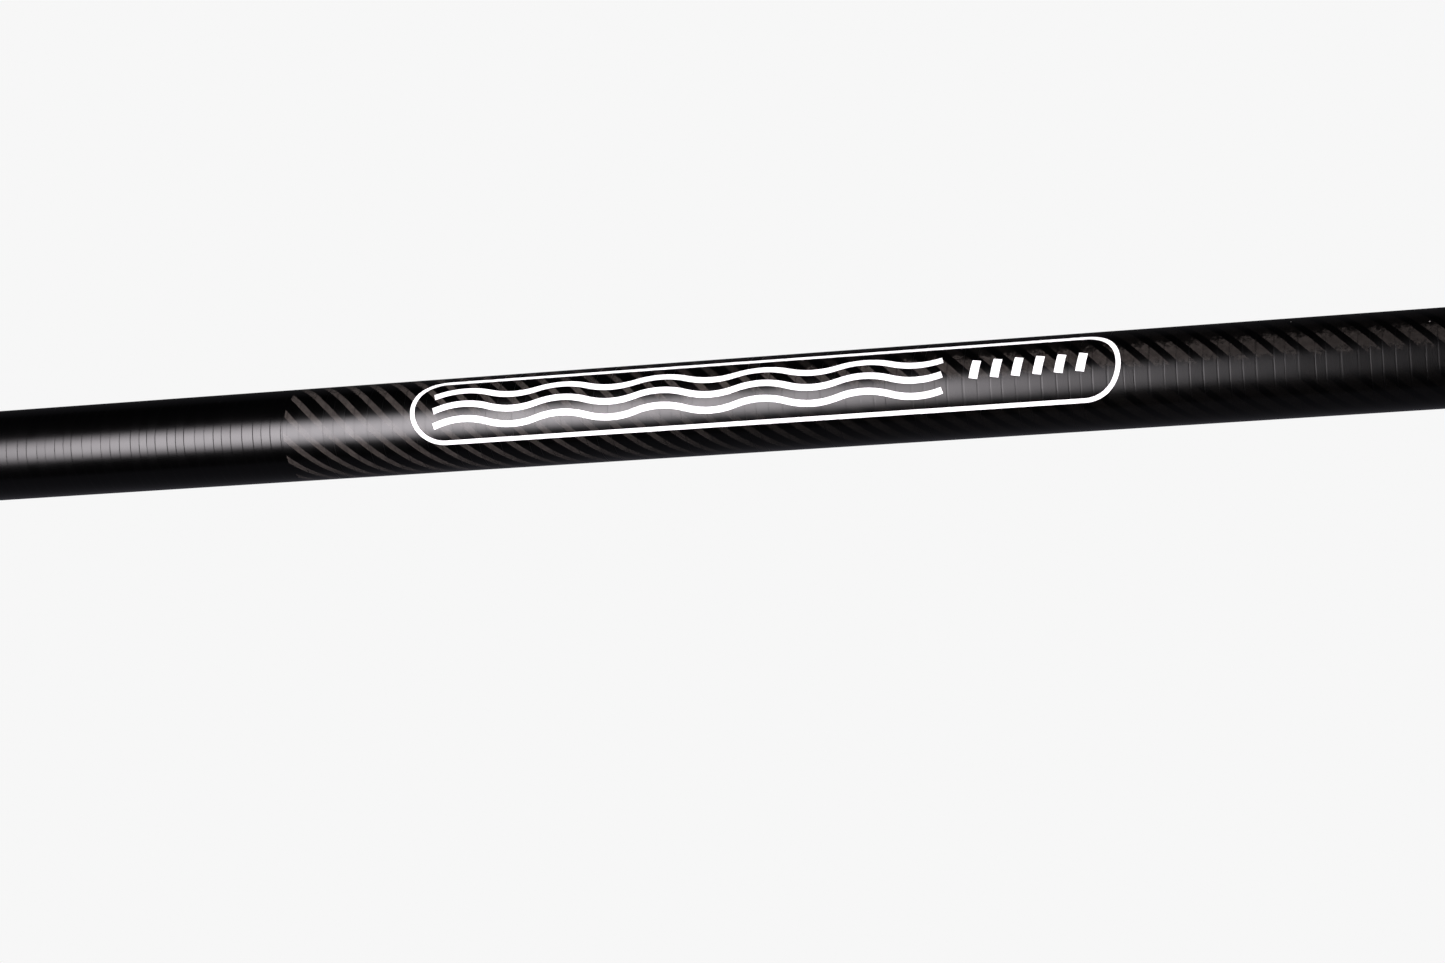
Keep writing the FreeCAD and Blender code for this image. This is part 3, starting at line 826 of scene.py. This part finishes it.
class PADDLE_OT_extension(bpy.types.Operator):
    """Model the sliding extension's tube"""

    bl_idname = "paddle.extension"
    bl_label = "Extension tube"

    def execute(self, context):
        start, end = span("extension_tube")
        tube = add_tube("extension", start, end, EXTENSION_R)
        give_wall(tube, EXTENSION_WALL, rim=0.1 * MM)
        material = bare_carbon("extension_carbon", groove=0.012 * MM)
        finish_piece(tube, material, "extension", "carbon_shaft", "extension_tube")
        return {"FINISHED"}


class PADDLE_OT_height_scale(bpy.types.Operator):
    """Print a tick for every centimetre, and the paddle's length in centimetres at every fifth"""

    bl_idname = "paddle.height_scale"
    bl_label = "Height scale"

    tick_line = 0.35 * MM
    short_length, long_length = 4 * MM, 9 * MM
    number_size = 5.6 * MM
    number_gap = 0.9 * MM            # from a long tick to the foot of its number

    def tick(self, length):
        mark = add_sheet("tick")
        mark.scale = (self.tick_line, length, 1)
        set_in_place()
        return mark

    def number(self, value, at):
        start_fresh()
        bpy.ops.object.text_add()
        text = bpy.context.object
        text.data.body = str(value)
        text.data.size = self.number_size
        text.data.align_x = "CENTER"
        text.data.align_y = "BOTTOM"
        text.data.resolution_u = 4
        bpy.ops.object.convert(target="MESH")
        text = bpy.context.object
        text.matrix_world = Matrix.Translation((at, 0, 0)) @ Matrix.Rotation(-math.pi / 2, 4, "Z")
        set_in_place()
        return text

    def execute(self, context):
        slide = next(joint for joint in frame["joints"] if joint["name"] == "extension_slide")
        inwards, outwards = slide["range_m"]
        length_now = round((CAD_BOX[1].x - CAD_BOX[0].x) * 100)
        shortest, longest = length_now + round(inwards * 100), length_now + round(outwards * 100)
        short_tick, long_tick = self.tick(self.short_length), self.tick(self.long_length)
        pieces = []
        for value in range(shortest, longest + 1):
            at = MOUTH_X - (value - length_now) / 100
            fifth = value % 5 == 0
            pieces.append(copy_of(long_tick if fifth else short_tick, (at, 0, 0)))
            if fifth:
                pieces.append(self.number(value, at + self.number_gap))
        for mark in (short_tick, long_tick):
            choose(mark)
            bpy.ops.object.delete()
        scale = join(pieces, "height_scale")
        wrap_round_tube(scale, EXTENSION_R, facet=1.1 * MM)
        finish_piece(scale, print_ink(), "extension", "carbon_shaft")
        return {"FINISHED"}


class PADDLE_OT_finishes(bpy.types.Operator):
    """Give every carried-over part its finish"""

    bl_idname = "paddle.finishes"
    bl_label = "Finishes"

    def execute(self, context):
        rim = moulded("rim_plastic", (0.012, 0.012, 0.0125), 0.42, 900.0)
        foam = moulded("foam", (0.62, 0.58, 0.44), 0.85, 420.0, depth=0.2 * MM, rub=0.0, pale=1.0)
        collar = moulded("glass_nylon", (0.011, 0.011, 0.0115), 0.5, 1500.0, depth=0.04 * MM)
        lever = moulded("lever_nylon", (0.014, 0.014, 0.0145), 0.4, 1500.0)
        acetal = moulded("acetal", (0.022, 0.022, 0.024), 0.3, 700.0, depth=0.01 * MM, rub=0.2)
        seal = moulded("seal_rubber", (0.010, 0.010, 0.010), 0.7, 2400.0, depth=0.03 * MM)
        grip = moulded("grip_plastic", (0.013, 0.013, 0.0135), 0.45, 1200.0, depth=0.04 * MM)
        pad = moulded("grip_rubber", (0.020, 0.020, 0.021), 0.72, 1400.0, depth=0.09 * MM, rub=0.3)
        steel = brushed_metal("plain_steel", (0.56, 0.55, 0.53), 0.32)
        anodised = brushed_metal("dark_anodised", (0.20, 0.20, 0.21), 0.34, fineness=1.5)
        paint(twill_carbon(), "power_face_skin", "back_face_skin")
        paint(rim, "edge_rail")
        paint(foam, "blade_core", "tube_foot_plug", "float_plug")
        paint(collar, "clamp_collar")
        paint(lever, "clamp_lever", "anti_twist_rail", "cam_washer")
        paint(acetal, "guide_sleeve", "end_glide", "grip_spigot")
        paint(seal, "wiper_seal", "glide_seal")
        paint(grip, "grip_body")
        paint(pad, "palm_pad")
        paint(steel, "clamp_bolt", "cam_pin", "nut_washer", "collar_rivets")
        paint(anodised, "tension_nut", "grip_ring")
        return {"FINISHED"}


class PADDLE_OT_studio(bpy.types.Operator):
    """Set the pale floor, the soft light and the camera"""

    bl_idname = "paddle.studio"
    bl_label = "Studio"

    floor_near = (0.098, 0.096, 0.112)       # what the shaft reflects of the floor, on its near side
    floor_beyond = (0.034, 0.033, 0.037)
    surroundings = (0.004, 0.004, 0.0043)
    panel_tint = (1.0, 0.945, 0.985, 1)

    def backdrop(self, tree, shade):
        """Pale to the camera, dim to everything that the paddle reflects."""
        to_camera = add_node(tree, "ShaderNodeLightPath").outputs["Is Camera Ray"]
        return blend_colour(tree, to_camera, shade, colours().floor)

    def floor(self):
        plane = add_sheet("floor", size=24)
        plane.location.z = CAD_BOX[0].z
        set_in_place()
        material, tree = blank_material("pale_floor")
        across = split(tree, position(tree))[1]
        beyond = remap(tree, across, -10 * MM, 15 * MM)
        shade = blend_colour(tree, beyond, self.floor_near, self.floor_beyond)
        set_glow(tree, self.backdrop(tree, shade), 1.0)
        plane.data.materials.append(material)

    def world(self):
        world = bpy.data.worlds.new("studio")
        bpy.context.scene.world = world
        world.use_nodes = True
        tree = world.node_tree
        put(tree, tree.nodes["Background"].inputs["Color"], self.backdrop(tree, self.surroundings))

    def softbox(self, name, at, target, width, length, strength, end_fade, side_fade):
        """Glowing panel that fades towards its edges; a fade of 0.5 reaches the middle."""
        panel = add_sheet(name)
        back = (at - target).normalized()
        side = (Vector((0, 1, 0)) - back * back.y).normalized()
        along = side.cross(back)
        turn = Matrix((along, side, back)).transposed().to_4x4()
        panel.matrix_world = Matrix.Translation(at) @ turn @ Matrix.Diagonal((length, width, 1, 1))
        material, tree = blank_material(name)
        u, v = split(tree, add_node(tree, "ShaderNodeTexCoord").outputs["UV"])[:2]
        end = remap(tree, minus(tree, 0.5, gap(tree, u, 0.5)), 0.0, end_fade)
        edge = remap(tree, minus(tree, 0.5, gap(tree, v, 0.5)), 0.0, side_fade)
        set_glow(tree, self.panel_tint, times(tree, times(tree, end, edge), strength))
        panel.data.materials.append(material)
        panel.visible_camera = False

    def lights(self, across):
        """Long panel for the shaft's highlight, and a smaller one over the clamp and the grip."""
        s = bpy.context.scene.paddle_studio
        key_x, key_away, key_turn = -0.48, 1.2, math.radians(5.5)
        grip_x, grip_away, grip_turn = 1.15, 1.0, math.radians(38)
        aim = Vector((0, 0, AXIS_Z))
        up_round = across.cross(Vector((1, 0, 0)))
        over_shaft = (across * math.cos(key_turn) + up_round * math.sin(key_turn)).normalized()
        key_at = aim + over_shaft * key_away + Vector((key_x, 0, 0))
        self.softbox(
            "key_box", key_at, Vector((key_at.x, 0, AXIS_Z)), width=1.75, length=1.18,
            strength=s.key_strength, end_fade=0.38, side_fade=0.45)
        over_grip = (across * math.cos(grip_turn) + up_round * math.sin(grip_turn)).normalized()
        grip_at = aim + over_grip * grip_away + Vector((grip_x, 0, 0))
        self.softbox(
            "grip_box", grip_at, Vector((0.6, 0, AXIS_Z)), width=1.0, length=1.0,
            strength=s.grip_strength, end_fade=0.3, side_fade=0.3)

    def camera(self, across):
        s = bpy.context.scene.paddle_studio
        back = Vector((1, 0, 0)) * math.sin(s.turn) + across * math.cos(s.turn)
        level = (Vector((1, 0, 0)) - back * back.x).normalized()
        upright = back.cross(level)
        right = level * math.cos(s.roll) - upright * math.sin(s.roll)
        up = level * math.sin(s.roll) + upright * math.cos(s.roll)
        aim = Vector((WRAP_START + s.aim_past_edge, 0, AXIS_Z))
        data = bpy.data.cameras.new("camera")
        data.lens = s.lens
        data.sensor_width = 36
        data.clip_start = 0.01
        camera = bpy.data.objects.new("camera", data)
        bpy.context.scene.collection.objects.link(camera)
        camera.matrix_world = Matrix.Translation(aim + back * s.distance - up * s.rise) @ Matrix(
            (right, up, back)).transposed().to_4x4()
        bpy.context.scene.camera = camera

    def execute(self, context):
        lean = context.scene.paddle_studio.lean
        across = Vector((0, -math.sin(lean), math.cos(lean)))
        self.floor()
        self.world()
        self.camera(across)
        self.lights(across)
        context.scene.view_settings.view_transform = "Standard"
        return {"FINISHED"}


class PADDLE_PT_panel(bpy.types.Panel):
    """Lists the paddle's steps and settings in the sidebar"""

    bl_idname = "PADDLE_PT_panel"
    bl_label = "Paddle"
    bl_space_type = "VIEW_3D"
    bl_region_type = "UI"
    bl_category = "Paddle"

    def draw(self, context):
        for operator in OPERATORS:
            self.layout.operator(operator.bl_idname)
        for group in ("paddle_sizes", "paddle_colours", "paddle_studio"):
            settings = getattr(context.scene, group)
            box = self.layout.box()
            for name in settings.__annotations__:
                box.prop(settings, name)


OPERATORS = (
    PADDLE_OT_effects, PADDLE_OT_bare_shaft, PADDLE_OT_striped_ply, PADDLE_OT_outline_print,
    PADDLE_OT_extension, PADDLE_OT_height_scale, PADDLE_OT_finishes, PADDLE_OT_studio)
CLASSES = (PaddleSizes, PaddleColours, StudioSettings, *OPERATORS, PADDLE_PT_panel)


def register():
    for cls in CLASSES:
        bpy.utils.register_class(cls)
    bpy.types.Scene.paddle_sizes = PointerProperty(type=PaddleSizes)
    bpy.types.Scene.paddle_colours = PointerProperty(type=PaddleColours)
    bpy.types.Scene.paddle_studio = PointerProperty(type=StudioSettings)


def unregister():
    del bpy.types.Scene.paddle_studio
    del bpy.types.Scene.paddle_colours
    del bpy.types.Scene.paddle_sizes
    for cls in reversed(CLASSES):
        bpy.utils.unregister_class(cls)


def main():
    register()
    bpy.ops.paddle.effects()
    bpy.ops.paddle.bare_shaft()
    bpy.ops.paddle.striped_ply()
    bpy.ops.paddle.outline_print()
    bpy.ops.paddle.extension()
    bpy.ops.paddle.height_scale()
    bpy.ops.paddle.finishes()
    bpy.ops.paddle.studio()


if __name__ == "__main__":
    main()
